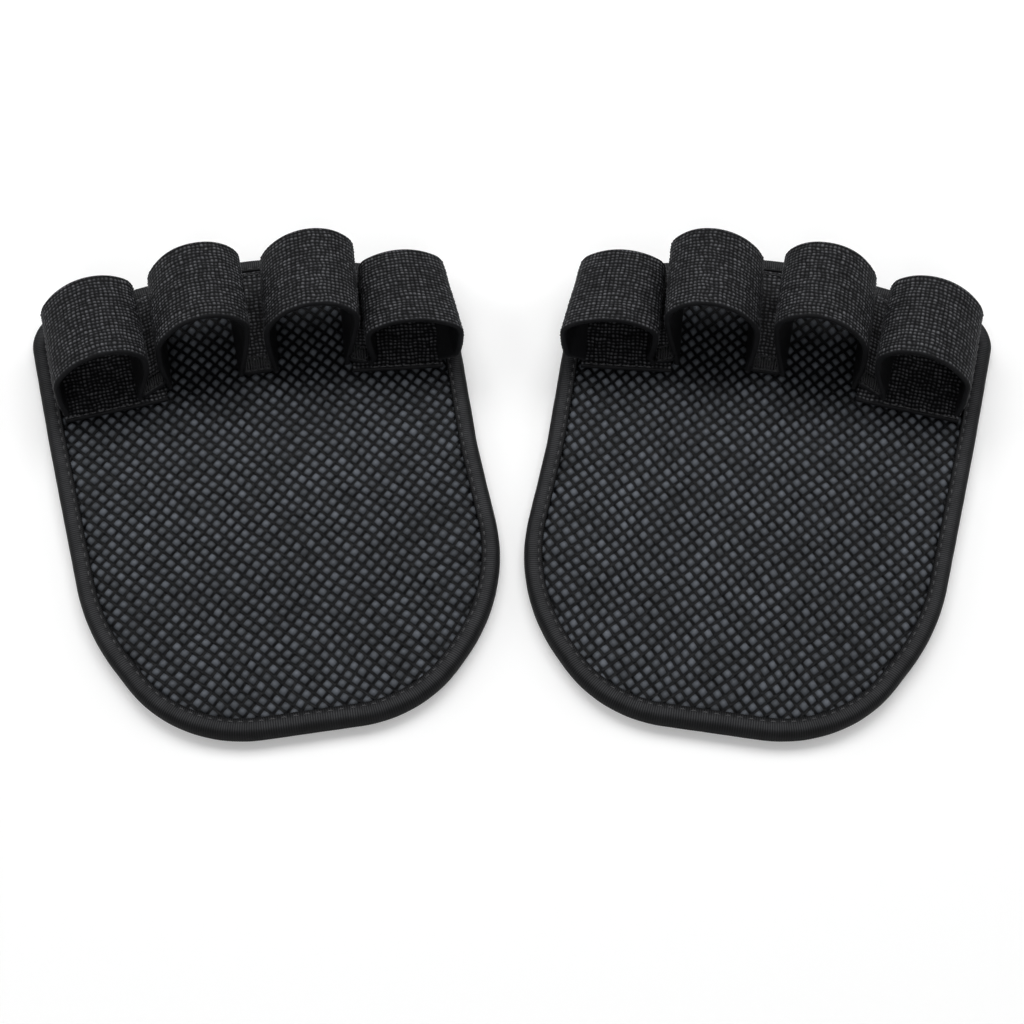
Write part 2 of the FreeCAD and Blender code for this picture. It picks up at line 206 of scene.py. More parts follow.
# A steady random number from 0 to 1 for each whole-number cell.
def cellRandom(i, j, seed):
    value = np.sin(i * 127.1 + j * 311.7 + seed * 74.7) * 43758.5453
    return value - np.floor(value)


# materials
def newMaterial(name):
    material = bpy.data.materials.new(name)
    material.use_nodes = True
    tree = material.node_tree
    return material, tree, tree.nodes["Principled BSDF"]


def node(tree, kind, **values):
    made = tree.nodes.new(kind)
    for word, value in values.items():
        if word in made.inputs:
            made.inputs[word].default_value = value
        else:
            setattr(made, word, value)
    return made


def ramp(tree, source, stops):
    made = tree.nodes.new("ShaderNodeValToRGB")
    for _ in range(len(stops) - 2):
        made.color_ramp.elements.new(0.5)
    for element, (place, colour) in zip(made.color_ramp.elements, stops):
        element.position = place
        element.color = (*colour, 1)
    tree.links.new(source, made.inputs["Fac"])
    return made.outputs["Color"]


def mixColour(tree, kind, factor, first, second):
    made = tree.nodes.new("ShaderNodeMix")
    made.data_type = "RGBA"
    made.blend_type = kind
    for socket, value in ((made.inputs[0], factor), (made.inputs[6], first), (made.inputs[7], second)):
        if isinstance(value, bpy.types.NodeSocket):
            tree.links.new(value, socket)
        else:
            socket.default_value = value
    return made.outputs[2]


def shade(tree, word):
    made = tree.nodes.new("ShaderNodeAttribute")
    made.attribute_name = word
    return made.outputs["Fac"]


# Bumps stacked one on another: each is a height, a strength and a depth in metres.
def bumpChain(tree, shader, layers):
    before = None
    for height, strength, depth in layers:
        bump = tree.nodes.new("ShaderNodeBump")
        bump.inputs["Strength"].default_value = strength
        bump.inputs["Distance"].default_value = depth
        tree.links.new(height, bump.inputs["Height"])
        if before is not None:
            tree.links.new(before, bump.inputs["Normal"])
        before = bump.outputs["Normal"]
    tree.links.new(before, shader.inputs["Normal"])


def objectNoise(tree, scale, detail=2.0, rough=0.5):
    place = tree.nodes.new("ShaderNodeTexCoord")
    noise = node(tree, "ShaderNodeTexNoise", Scale=scale, Detail=detail, Roughness=rough)
    tree.links.new(place.outputs["Object"], noise.inputs["Vector"])
    return noise.outputs["Fac"]


waveTurn = 0.314159  # 2 pi over the wave texture's own 20: divided by a pitch, it gives one rib each pitch


# Parallel ribs on the piece's own millimetre map: one rib each pitch.
def weaveWave(tree, direction, pitch, turnBy=0.0, distortion=0.0):
    place = tree.nodes.new("ShaderNodeUVMap")
    place.uv_map = "weave"
    mapping = tree.nodes.new("ShaderNodeMapping")
    mapping.inputs["Rotation"].default_value = (0, 0, turnBy)
    tree.links.new(place.outputs["UV"], mapping.inputs["Vector"])
    wave = node(tree, "ShaderNodeTexWave", Scale=waveTurn / pitch, Distortion=distortion)
    wave.bands_direction = direction
    tree.links.new(mapping.outputs["Vector"], wave.inputs["Vector"])
    return wave.outputs["Fac"]


# groove and edge are painted shade in the grooves and on the facet shoulders; pad is the rubber's own grey
rubberLook = {"groove": (0.0012, 0.0012, 0.0014), "edge": (0.012, 0.013, 0.015), "pad": (0.095, 0.104, 0.118),
              "grainScale": 2600.0, "wearScale": 55.0}


# Colour follows the emboss height, from black grooves to grey pads: the black grooves and dark facet
# shoulders are painted shade; cell by cell a little lighter.
def rubberMaterial():
    material, tree, shader = newMaterial("embossedRubber")
    height = ramp(tree, shade(tree, "relief"), [(0.0, rubberLook["groove"]), (0.36, rubberLook["edge"]),
                                              (0.85, rubberLook["pad"])])
    wear = ramp(tree, objectNoise(tree, rubberLook["wearScale"], 4.0, 0.6), [(0.3, (0.75, 0.75, 0.75)),
                                                                            (0.7, (1.15, 1.15, 1.15))])
    cells = ramp(tree, shade(tree, "cell"), [(0.0, (0.68, 0.68, 0.68)), (1.0, (1.2, 1.2, 1.22))])
    colour = mixColour(tree, "MULTIPLY", 1.0, height, wear)
    colour = mixColour(tree, "MULTIPLY", 1.0, colour, cells)
    tree.links.new(colour, shader.inputs["Base Color"])
    rough = ramp(tree, objectNoise(tree, 700.0, 3.0), [(0.2, (0.42, 0.42, 0.42)), (0.8, (0.62, 0.62, 0.62))])
    tree.links.new(rough, shader.inputs["Roughness"])
    shader.inputs["Specular IOR Level"].default_value = 0.12
    bumpChain(tree, shader, [(objectNoise(tree, rubberLook["grainScale"], 3.0, 0.6), 0.35, 0.00008),
                             (objectNoise(tree, 420.0, 2.0), 0.25, 0.00025)])
    return material


# gap and yarn are painted shade between and down the sides of the yarn blocks; top is the elastic's own
# colour
elasticLook = {"gap": (0.0008, 0.0008, 0.001), "yarn": (0.020, 0.0204, 0.0225), "top": (0.115, 0.117, 0.125)}


# Woven elastic: raised yarn blocks lighter than the gaps between them, the near-black gaps and darker block
# sides being painted shade, with fine yarn ribs on top.
def elasticMaterial():
    material, tree, shader = newMaterial("wovenElastic")
    height = ramp(tree, shade(tree, "relief"), [(0.0, elasticLook["gap"]), (0.5, elasticLook["yarn"]),
                                              (1.0, elasticLook["top"])])
    patch = ramp(tree, objectNoise(tree, 160.0, 3.0), [(0.3, (0.8, 0.8, 0.8)), (0.7, (1.12, 1.12, 1.12))])
    cells = ramp(tree, shade(tree, "cell"), [(0.0, (0.7, 0.7, 0.7)), (1.0, (1.25, 1.25, 1.25))])
    colour = mixColour(tree, "MULTIPLY", 1.0, height, patch)
    colour = mixColour(tree, "MULTIPLY", 1.0, colour, cells)
    tree.links.new(colour, shader.inputs["Base Color"])
    shader.inputs["Roughness"].default_value = 0.55
    shader.inputs["Specular IOR Level"].default_value = 0.08
    bumpChain(tree, shader, [(weaveWave(tree, "X", 0.26), 0.35, 0.00006),
                             (objectNoise(tree, 5200.0, 2.0), 0.3, 0.00006)])
    return material


# valley is painted shade between the ribs; rib is the tape's own colour
tapeLook = {"valley": (0.0007, 0.0007, 0.0009), "rib": (0.056, 0.057, 0.061)}


# Grosgrain tape: fine ribs across the tape, darker between them with painted shade.
def tapeMaterial():
    material, tree, shader = newMaterial("grosgrainTape")
    ribs = ramp(tree, shade(tree, "relief"), [(0.0, tapeLook["valley"]), (1.0, tapeLook["rib"])])
    patch = ramp(tree, objectNoise(tree, 220.0, 3.0), [(0.3, (0.78, 0.78, 0.78)), (0.7, (1.15, 1.15, 1.15))])
    colour = mixColour(tree, "MULTIPLY", 1.0, ribs, patch)
    tree.links.new(colour, shader.inputs["Base Color"])
    shader.inputs["Roughness"].default_value = 0.55
    shader.inputs["Specular IOR Level"].default_value = 0.1
    bumpChain(tree, shader, [(weaveWave(tree, "Y", 0.32), 0.4, 0.00006),
                             (objectNoise(tree, 4600.0, 2.0), 0.3, 0.00006)])
    return material


# each pair: painted shade between the twist ribs, then the thread's own colour
threadLook = {"seam": ((0.025, 0.025, 0.026), (0.11, 0.11, 0.115)),
              "tack": ((0.006, 0.006, 0.007), (0.05, 0.051, 0.054))}


# Twisted sewing thread: fine slanted ribs, with painted shade between them.
def threadMaterial(kind):
    material, tree, shader = newMaterial(kind + "Thread")
    dark, light = threadLook[kind]
    twist = weaveWave(tree, "X", 0.35, turnBy=0.7)
    tree.links.new(ramp(tree, twist, [(0.0, dark), (1.0, light)]), shader.inputs["Base Color"])
    shader.inputs["Roughness"].default_value = 0.5
    shader.inputs["Specular IOR Level"].default_value = 0.2
    bumpChain(tree, shader, [(twist, 0.5, 0.00008)])
    return material


# Plain close weave of the underside: two crossing sets of fine ribs, with painted shade where they dip.
def backingMaterial():
    material, tree, shader = newMaterial("backingWeave")
    first, second = weaveWave(tree, "X", 0.55), weaveWave(tree, "Y", 0.55)
    weave = mixColour(tree, "MULTIPLY", 1.0, first, second)
    tree.links.new(ramp(tree, weave, [(0.0, (0.008, 0.008, 0.009)), (0.7, (0.026, 0.027, 0.030))]),
                   shader.inputs["Base Color"])
    shader.inputs["Roughness"].default_value = 0.8
    shader.inputs["Sheen Weight"].default_value = 0.08
    bumpChain(tree, shader, [(weave, 0.5, 0.00012), (objectNoise(tree, 90.0, 3.0), 0.3, 0.0006)])
    return material


# Closed cell foam: small round cells, each pit darkened with painted shade.
def foamMaterial():
    material, tree, shader = newMaterial("closedCellFoam")
    place = tree.nodes.new("ShaderNodeTexCoord")
    cells = node(tree, "ShaderNodeTexVoronoi", Scale=1600.0)
    tree.links.new(place.outputs["Object"], cells.inputs["Vector"])
    colour = ramp(tree, cells.outputs["Distance"], [(0.0, (0.012, 0.012, 0.013)), (0.8, (0.04, 0.04, 0.042))])
    tree.links.new(colour, shader.inputs["Base Color"])
    shader.inputs["Roughness"].default_value = 0.9
    bumpChain(tree, shader, [(cells.outputs["Distance"], 0.6, 0.0002)])
    return material


looks = {"rubber": rubberMaterial(), "elastic": elasticMaterial(), "tape": tapeMaterial(),
         "seam": threadMaterial("seam"), "tack": threadMaterial("tack"), "backing": backingMaterial(),
         "foam": foamMaterial()}
print("materials made:", len(looks))


# camera, floor and lights come before the pieces
view = {"lens": 70.3, "eye": (0.0, -0.2547, 0.4131), "target": (0.0, -0.0065, 0.0)}
studio = {"world": 0.16, "floorColour": (0.86, 0.86, 0.86), "cameraLift": 0.2,
          "lamps": {"overhead": {"at": (0.0, 0.5, 0.85), "size": (1.1, 0.5), "power": 7.6},
                    "left": {"at": (-0.9, 0.25, 0.5), "size": (0.5, 0.5), "power": 2.0},
                    "right": {"at": (0.9, 0.25, 0.5), "size": (0.5, 0.5), "power": 1.6},
                    "front": {"at": (0.0, -0.9, 0.65), "size": (0.8, 0.5), "power": 3.2}}}


def aimAt(thing, target):
    thing.rotation_euler = (Vector(target) - thing.location).to_track_quat("-Z", "Y").to_euler()


def addCamera():
    lens = bpy.data.cameras.new("camera")
    lens.lens = view["lens"]
    lens.clip_start = 0.01
    camera = bpy.data.objects.new("camera", lens)
    camera.location = view["eye"]
    aimAt(camera, view["target"])
    bpy.context.scene.collection.objects.link(camera)
    bpy.context.scene.camera = camera


def addLamp(name, lamp):
    data = bpy.data.lights.new(name, "AREA")
    data.shape = "RECTANGLE"
    data.size, data.size_y = lamp["size"]
    data.energy = lamp["power"]
    thing = bpy.data.objects.new(name, data)
    thing.location = lamp["at"]
    aimAt(thing, (0, 0, 0))
    bpy.context.scene.collection.objects.link(thing)


# Flat square under the grips; camera rays see it a little paler, and it keeps the shadow.
def addFloor():
    mesh = bpy.data.meshes.new("floor")
    half = 3.0
    corners = [(-half, -half, 0), (half, -half, 0), (half, half, 0), (-half, half, 0)]
    mesh.from_pydata(corners, [], [(0, 1, 2, 3)])
    floor = bpy.data.objects.new("floor", mesh)
    bpy.context.scene.collection.objects.link(floor)
    material, tree, shader = newMaterial("paleFloor")
    shader.inputs["Base Color"].default_value = (*studio["floorColour"], 1)
    shader.inputs["Roughness"].default_value = 0.9
    shader.inputs["Specular IOR Level"].default_value = 0.1
    rays = tree.nodes.new("ShaderNodeLightPath")
    strength = node(tree, "ShaderNodeMath", operation="MULTIPLY")
    strength.inputs[1].default_value = studio["cameraLift"]
    tree.links.new(rays.outputs["Is Camera Ray"], strength.inputs[0])
    shader.inputs["Emission Color"].default_value = (1, 1, 1, 1)
    tree.links.new(strength.outputs[0], shader.inputs["Emission Strength"])
    mesh.materials.append(material)


def addWorld():
    world = bpy.data.worlds.new("studioWorld")
    bpy.context.scene.world = world
    world.use_nodes = True
    background = world.node_tree.nodes["Background"]
    background.inputs["Color"].default_value = (1, 1, 1, 1)
    background.inputs["Strength"].default_value = studio["world"]


addCamera()
addFloor()
addWorld()
for lampName, lampFacts in studio["lamps"].items():
    addLamp(lampName, lampFacts)
bpy.context.scene.view_settings.view_transform = "Standard"
print("camera, floor and lights set")


# outline helpers shared by the pieces
# Point on the outline moved inwards along its normal.
def insetAt(distance, inset):
    point, normal = outlineAt(distance)
    return point - normal * np.asarray(inset)[..., None]


# Inward distance from the outline and the nearest outline sample, for each point.
def edgeDistance(points):
    ring, normal = outlineAt(np.linspace(0, perimeter, 1100, endpoint=False))
    nearest = np.empty(len(points), int)
    for start in range(0, len(points), 8000):
        part = points[start:start + 8000]
        square = (ring ** 2).sum(1)[None, :] - 2 * part @ ring.T
        nearest[start:start + 8000] = square.argmin(1)
    return ((ring[nearest] - points) * normal[nearest]).sum(1), ring[nearest], normal[nearest]


def dress(piece, look):
    piece.data.materials.clear()
    piece.data.materials.append(looks[look])
    return piece


# embossed palm face
face = {"acrossDiagonal": 3.3, "alongDiagonal": 3.7, "edgeInset": 2.3, "tapeInset": 4.3, "grooveDepth": 0.5,
        "crest": 0.3, "grooveEdge": 0.05, "shoulder": 0.25, "crown": 0.25, "tilt": 0.34, "ridge": 0.34,
        "crossRidge": 0.15, "wander": 0.2, "pressed": 0.3, "reach": 40, "window": (62, -70, 74),
        "steps": (0.0, 0.08, 0.2, 0.5, 0.8, 0.92)}


# Diamond lattice: u and v count diamonds along the two diagonals, with finer steps beside each groove.
def faceLattice():
    fine = (np.arange(-face["reach"], face["reach"])[:, None] + np.array(face["steps"])[None, :]).ravel()
    u, v = np.meshgrid(fine, fine, indexing="ij")
    x = face["acrossDiagonal"] * (u - v) / 2
    y = face["alongDiagonal"] * (u + v) / 2
    return u, v, x, y


# Rounded facet: a smooth step up from the groove, slightly crowned.
def pillow(part):
    fromEdge = np.minimum(part, 1 - part)
    body = smooth(face["grooveEdge"], face["shoulder"], fromEdge)
    return body * (1 - face["crown"] * (2 * part - 1) ** 2)


# Relief from 0 in a groove to 1 on a crest, and a random number for each diamond.
def faceHeights(u, v, x, y):
    i, j = np.floor(u + 1e-9), np.floor(v + 1e-9)
    s, t = u - i, v - j
    relief = pillow(s) * pillow(t) * (0.85 + 0.15 * cellRandom(i, j, 1.0))
    ridge = np.where(s < 0.01, face["ridge"] * (0.5 + 0.5 * cellRandom(i, j, 3.0)), 0.0)
    ridge = np.maximum(ridge, np.where(t < 0.01, face["crossRidge"] * 2 * cellRandom(i, j, 4.0), 0.0))
    relief = np.maximum(relief, ridge)
    lean = (cellRandom(i, j, 5.0) - 0.5) * (s - 0.5) + (cellRandom(i, j, 6.0) - 0.5) * (t - 0.5)
    crumple = waves(x, y, 11, 2.6) * 0.07 + waves(x, y, 12, 1.5) * 0.04
    height = -face["grooveDepth"] + relief * (face["crest"] + face["grooveDepth"]) + lean * face["tilt"] * 2
    return height + crumple * (0.3 + relief), relief, cellRandom(i, j, 7.0)


# Top: diamond relief kept inside the outline, its border drawn onto it; walls and a flat bottom close it.
def makeFace(side):
    u, v, x, y = faceLattice()
    x = x + waves(u * 2.6, v * 2.6, 21, 17.0) * face["wander"] * 2
    y = y + waves(u * 2.6, v * 2.6, 22, 17.0) * face["wander"] * 2
    height, relief, cell = faceHeights(u, v, x, y)
    flat = np.column_stack([x.ravel(), y.ravel()])
    wide, low, high = face["window"]
    near = np.flatnonzero((np.abs(flat[:, 0]) < wide) & (flat[:, 1] > low) & (flat[:, 1] < high))
    distance = np.full(len(flat), -9.0)
    ring, normal = np.zeros((len(flat), 2)), np.zeros((len(flat), 2))
    distance[near], ring[near], normal[near] = edgeDistance(flat[near])
    quads = gridFaces(*u.shape)[:, ::-1]
    quads = quads[distance[quads].mean(1) > face["edgeInset"]]
    edges = np.concatenate([quads[:, [a, (a + 1) % 4]] for a in range(4)])
    key = edges[:, 0].astype(np.int64) * len(flat) + edges[:, 1]
    back = edges[:, 1].astype(np.int64) * len(flat) + edges[:, 0]
    border = edges[~np.isin(key, back)]
    onBorder = np.unique(border)
    flat[onBorder] = ring[onBorder] - normal[onBorder] * face["edgeInset"]
    pressed = face["pressed"] * (1 - smooth(face["tapeInset"] + 0.1, face["tapeInset"] + 0.8, distance))
    z = faceTop + height.ravel() - pressed
    underTape = distance < face["tapeInset"] + 0.15
    z = np.where(underTape, np.minimum(z, faceTop - 0.06), z)
    used = np.unique(quads)
    renumber = np.full(len(flat), -1)
    renumber[used] = np.arange(len(used))
    top = np.column_stack([flat[used], z[used]])
    loopOrder = orderedLoop(border)
    bottom = np.column_stack([flat[loopOrder], np.full(len(loopOrder), faceLow)])
    rim = renumber[loopOrder]
    low = len(used) + np.arange(len(loopOrder))
    walls = np.column_stack([rim, low, np.roll(low, -1), np.roll(rim, -1)])
    points = np.vstack([top, bottom])
    # relief also drives the painted shade of the grooves and facet shoulders
    shades = {"relief": np.concatenate([relief.ravel()[used], np.zeros(len(bottom))]),
              "cell": np.concatenate([cell.ravel()[used], np.zeros(len(bottom))])}
    faces = [renumber[quads], walls, low[None, ::-1]]
    piece = makeMesh(side + "PalmFace", points, faces, side, side + "_grip", [side + "_face_panel"],
                     uv=points[:, :2], shades=shades)
    return dress(piece, "rubber")


# Border vertices in order, each edge leading to the next.
def orderedLoop(border):
    follow = dict(border.tolist())
    start = here = int(border[0, 0])
    order = [here]
    while follow[here] != start:
        here = follow[here]
        order.append(here)
    return np.array(order)


ringPoints = outlineAt(np.linspace(0, perimeter, 2000, endpoint=False))[0]


# foam core and woven backing
layers = {"around": 420, "foamInset": 1.9, "backingInset": 2.0, "centre": (2.0, 2.0)}


# Each ring of the panel is the outline drawn towards the centre: share of the way out, and a height.
def panelPoints(inset, profile):
    around = layers["around"]
    edge = insetAt(np.linspace(0, perimeter, around, endpoint=False), np.full(around, inset))
    centre = np.array(layers["centre"])
    share = np.array([row[0] for row in profile])
    height = np.array([row[1] for row in profile])
    flat = centre + share[:, None, None] * (edge - centre)[None]
    return np.concatenate([flat, np.broadcast_to(height[:, None, None], flat.shape[:2] + (1,))], axis=2)


def makePanel(name, side, inset, low, high, cadNode, look):
    bulge = (high - low) / 2
    shares = [0.02, 0.15, 0.3, 0.45, 0.6, 0.75, 0.88, 0.96]
    turnSteps = np.linspace(math.pi / 2, -math.pi / 2, 7)
    rim = [(1 - 0.02 * (1 - math.cos(a)), low + bulge + bulge * math.sin(a)) for a in turnSteps]
    profile = [(s, high) for s in shares] + rim + [(s, low) for s in shares[::-1]]
    points = panelPoints(inset, profile)
    rows, columns = points.shape[:2]
    faces = [gridFaces(rows, columns, closeColumns=True), np.arange(columns)[None, :],
             np.arange((rows - 1) * columns, rows * columns)[None, ::-1]]
    flat = points.reshape(-1, 3)
    piece = makeMesh(side + name, flat, faces, side, side + "_grip", [side + "_" + cadNode],
                     uv=flat[:, :2])
    return dress(piece, look)


def makeCore(side):
    foam = makePanel("FoamCore", side, layers["foamInset"], backTop, faceLow, "foam_core", "foam")
    backing = makePanel("Backing", side, layers["backingInset"], backLow, backTop, "backing_panel", "backing")


# folded edge binding and its seam
tape = {"width": 4.3, "thick": 0.6, "ribPitch": 0.56, "ribDepth": 0.15, "roll": 1.7, "squareness": 2.2,
        "seamInset": 3.5, "stitchPitch": 2.6, "stitchLength": 1.3, "dimple": 0.3, "lip": 0.14,
        "threadRadius": 0.17, "flatWidth": 13.4}


# Across the fold: lip, top, rolled edge, underside, then back along the inside; inset and height pairs.
def tapeProfile():
    middle, half = tapeTop / 2, tapeTop / 2
    angles = np.linspace(math.pi / 2, -math.pi / 2, 13)
    power = 2 / tape["squareness"]
    rollInset = tape["roll"] * (1 - np.cos(angles) ** power)
    rollHeight = middle + half * np.sign(np.sin(angles)) * np.abs(np.sin(angles)) ** power
    topInsets = np.array([4.3, 4.22, 4.05, 3.8, 3.5, 3.2, 2.8, 2.3])
    outer = [(4.3, tapeTop - 0.5), (4.33, tapeTop - 0.25)] + [(i, tapeTop) for i in topInsets[1:]]
    outer += list(zip(rollInset, rollHeight))
    outer += [(i, 0.0) for i in (2.7, 3.1, 3.5, 3.9, 4.15)] + [(4.3, 0.12), (4.3, 0.5)]
    innerAngles = np.linspace(-math.pi / 2, math.pi / 2, 7)
    shrink = half - tape["thick"]
    innerInset = tape["thick"] + (tape["roll"] - tape["thick"] + 0.3) * (1 - np.cos(innerAngles) ** power)
    innerHeight = middle + shrink * np.sign(np.sin(innerAngles)) * np.abs(np.sin(innerAngles)) ** power
    inner = list(zip(innerInset, innerHeight))
    return np.array(outer), np.array(inner)


# The profile carried round the outline; ribs are a sine along the path, dimples sink at each stitch.
def makeBinding(side):
    outer, inner = tapeProfile()
    profile = np.vstack([outer, inner])
    count = int(round(perimeter / tape["ribPitch"])) * 3
    along = np.linspace(0, perimeter, count, endpoint=False)
    point, normal = outlineAt(along)
    out = np.zeros(len(profile))
    out[:len(outer)] = 1.0
    lengths = np.concatenate([[0], np.cumsum(np.linalg.norm(np.diff(profile, axis=0), axis=1))])
    step = np.gradient(profile, axis=0)
    facing = np.column_stack([step[:, 1], -step[:, 0]])
    facing /= np.maximum(np.linalg.norm(facing, axis=1), 1e-6)[:, None]
    # Rib wave along the path, weaker on the rolled outer edge; as the relief colour it also paints that edge
    # darker, a painted shade.
    ribs = 0.5 + 0.5 * np.cos(2 * math.pi * np.arange(count) / 3)
    ribs = ribs[:, None] * smooth(0.5, 2.0, profile[:, 0])[None, :] * 0.7 + ribs[:, None] * 0.3
    seam = np.cos(2 * math.pi * along / stitchPitch)[:, None] * 0.5 + 0.5
    nearSeam = np.exp(-((profile[:, 0] - tape["seamInset"]) / 0.42) ** 2)[None, :]
    upper = (profile[:, 1] > tapeTop / 2)[None, :]
    lipRise = np.exp(-((profile[:, 0] - 4.12) / 0.2) ** 2)[None, :] * tape["lip"] * upper
    push = tape["ribDepth"] * (ribs - 0.5) - tape["dimple"] * (0.55 + 0.45 * seam) * nearSeam + lipRise
    push = push + waves(along[:, None] * 1.0, lengths[None, :] * 2.0, 31, 9.0) * 0.05
    push = push * out[None, :]
    inset = profile[None, :, 0] + facing[None, :, 0] * push
    height = np.maximum(profile[None, :, 1] + facing[None, :, 1] * push, 0.0)
    flat = point[:, None, :] - normal[:, None, :] * inset[..., None]
    points = np.concatenate([flat, height[..., None]], axis=2).reshape(-1, 3)
    faces = gridFaces(count, len(profile), closeRows=True, closeColumns=True)
    uv = np.stack(np.broadcast_arrays(along[:, None], lengths[None, :]), axis=-1).reshape(-1, 2)
    # Painted shadow line along the inner lip beside the face, and painted shade in the stitch dimples.
    lipShade = 1 - 0.85 * smooth(3.85, 4.1, profile[:, 0])[None, :]
    shades = {"relief": (ribs * (1 - 0.6 * nearSeam * seam) * lipShade).ravel()}
    piece = makeMesh(side + "EdgeBinding", points, [faces], side, side + "_grip", [side + "_edge_binding"],
                     uv=uv, shades=shades)
    return dress(piece, "tape")


stitchPitch = perimeter / round(perimeter / tape["stitchPitch"])


# Stitches: each line of points carries a six-sided ring that narrows to its ends.
def threadMesh(name, side, lines, sideways, up, radius, nodes, look):
    count, steps = lines.shape[:2]
    t = np.linspace(-1, 1, steps)
    width = radius * np.sqrt(np.maximum(1 - 0.85 * np.abs(t) ** 4, 0.02))
    phi = np.linspace(0, 2 * math.pi, 6, endpoint=False)
    ring = sideways[:, None, None, :] * np.cos(phi)[None, None, :, None]
    ring = ring + up[:, None, None, :] * np.sin(phi)[None, None, :, None]
    points = lines[:, :, None, :] + ring * width[None, :, None, None]
    base = (np.arange(count) * steps * 6)[:, None, None]
    quads = (gridFaces(steps, 6, closeColumns=True)[None] + base).reshape(-1, 4)
    first = np.arange(6)[None, :] + base[:, 0]
    last = first[:, ::-1] + (steps - 1) * 6
    length = np.linalg.norm(np.diff(lines, axis=1), axis=2)
    run = np.concatenate([np.zeros((count, 1)), np.cumsum(length, axis=1)], axis=1)
    uv = np.stack(np.broadcast_arrays(run[:, :, None], (phi * radius)[None, None, :]), axis=-1).reshape(-1, 2)
    piece = makeMesh(name, points.reshape(-1, 3), [quads, first, last], side, side + "_grip", nodes,
                     uv=uv)
    return dress(piece, look)


# Top and bottom stitches follow the outline at the seam's inset and dip into the tape at their ends.
def makeSeam(side):
    middles = (np.arange(round(perimeter / stitchPitch)) + 0.5) * stitchPitch
    t = np.linspace(-1, 1, 5)
    along = middles[:, None] + t[None, :] * tape["stitchLength"] / 2
    point, normal = outlineAt(along.ravel())
    flat = (point - normal * tape["seamInset"]).reshape(len(middles), 5, 2)
    out = normal.reshape(len(middles), 5, 2)[:, 2]
    sideways = np.column_stack([out, np.zeros(len(out))])
    up = np.tile([0.0, 0.0, 1.0], (len(out), 1))
    high = tapeTop - 0.02 - 0.2 * t ** 2
    low = 0.2 + 0.12 * t ** 2
    lines = [np.concatenate([flat, np.broadcast_to(h[None, :, None], flat.shape[:2] + (1,))], axis=2)
             for h in (high, low)]
    lines = np.concatenate(lines)
    threadMesh(side + "BindingThread", side, lines, -np.tile(sideways, (2, 1)), np.tile(up, (2, 1)),
               tape["threadRadius"], [side + "_binding_thread"], "seam")


for side in ("left", "right"):
    makeFace(side)
    makeCore(side)
    makeBinding(side)
    makeSeam(side)
    print(side, "pad made")


# elastic finger loops
strap = {"width": 26.0, "thick": 1.3, "lip": 1.4, "rowPitch": 1.083, "dotPitch": 1.0, "dotDepth": 0.26,
         "dotLevel": 0.35, "wobble": 0.34, "samples": 4, "innerRows": 26, "rim": 0.35, "rimTone": 0.33,
         "rimCell": 0.45, "footSink": 0.25, "clearance": 0.8, "curlRadius": 1.6, "tackLength": 4.3,
         "tiltPivot": 3.0}
# base middle across and below the crest, base and bulge widths, crown rise, shoulder, height and lean of each
# arch, turn, whether it stands on a tail; then how the worn elastic sits: shift, widening, tilt and settling
loops = {
    "index": {"across": -37.1, "setback": 17.0, "base": 19.6, "bulge": 22.0, "crownRise": 8.0,
              "shoulder": 5.5, "front": (19.4, 3.0), "back": (17.3, 2.5), "turn": 6.0, "onTail": True,
              "shift": 1.4, "widen": 0.07, "tilt": 0.15, "settle": 0.9},
    "middle": {"across": -10.1, "setback": 12.3, "base": 19.2, "bulge": 22.0, "crownRise": 8.5,
               "shoulder": 5.5, "front": (23.1, 3.5), "back": (20.1, 3.0), "turn": 2.0, "onTail": False,
               "shift": 1.4, "widen": 0.07, "tilt": 0.15, "settle": 0.4},
    "ring": {"across": 18.4, "setback": 12.2, "base": 19.0, "bulge": 22.0, "crownRise": 8.5,
             "shoulder": 5.5, "front": (22.9, 3.5), "back": (20.0, 3.0), "turn": -2.5, "onTail": False,
             "shift": 1.3, "widen": 0.07, "tilt": 0.13, "settle": 0.3},
    "little": {"across": 42.8, "setback": 15.1, "base": 18.4, "bulge": 21.5, "crownRise": 6.5,
               "shoulder": 4.5, "front": (17.0, 1.0), "back": (12.0, 0.5), "turn": -5.0, "onTail": True,
               "shift": 2.6, "widen": 0.12, "tilt": 0.0, "settle": 0.5},
}


# From a loop's own frame, with its origin at the middle of the base's back edge, to the pad plane.
def loopPlaced(loop, across, along, up):
    a = math.radians(loop["turn"])
    x = loop["across"] + across * math.cos(a) - along * math.sin(a)
    y = outline["crest"][1] - loop["setback"] + across * math.sin(a) + along * math.cos(a)
    return np.stack(np.broadcast_arrays(x, y, up), axis=-1)


# Leg, shoulder, crown, shoulder and leg: centres, radii and the angles between which each arc runs.
def archArcs(loop, end):
    height, lean = loop[end]
    tall = math.hypot(height, lean)
    half, rise, shoulder = loop["bulge"] / 2, loop["crownRise"], loop["shoulder"]
    bulgeUp, flare = tall - rise, half - loop["base"] / 2
    leg = (bulgeUp ** 2 + flare ** 2) / (2 * flare)
    inward = half - shoulder
    crown = (inward ** 2 + rise ** 2 - shoulder ** 2) / (2 * (rise - shoulder))
    centres = np.array([(leg - half, bulgeUp), (-inward, bulgeUp), (0, tall - crown), (inward, bulgeUp),
                        (half - leg, bulgeUp)])
    side = math.atan2(bulgeUp - (tall - crown), -inward)
    foot = math.asin(bulgeUp / leg)
    radii = np.array([leg, shoulder, crown, shoulder, leg])
    starts = np.array([math.pi + foot, math.pi, side, math.pi - side, 0.0])
    stops = np.array([math.pi, side, math.pi - side, 0.0, -foot])
    return centres, radii, starts, stops, math.atan2(lean, height)


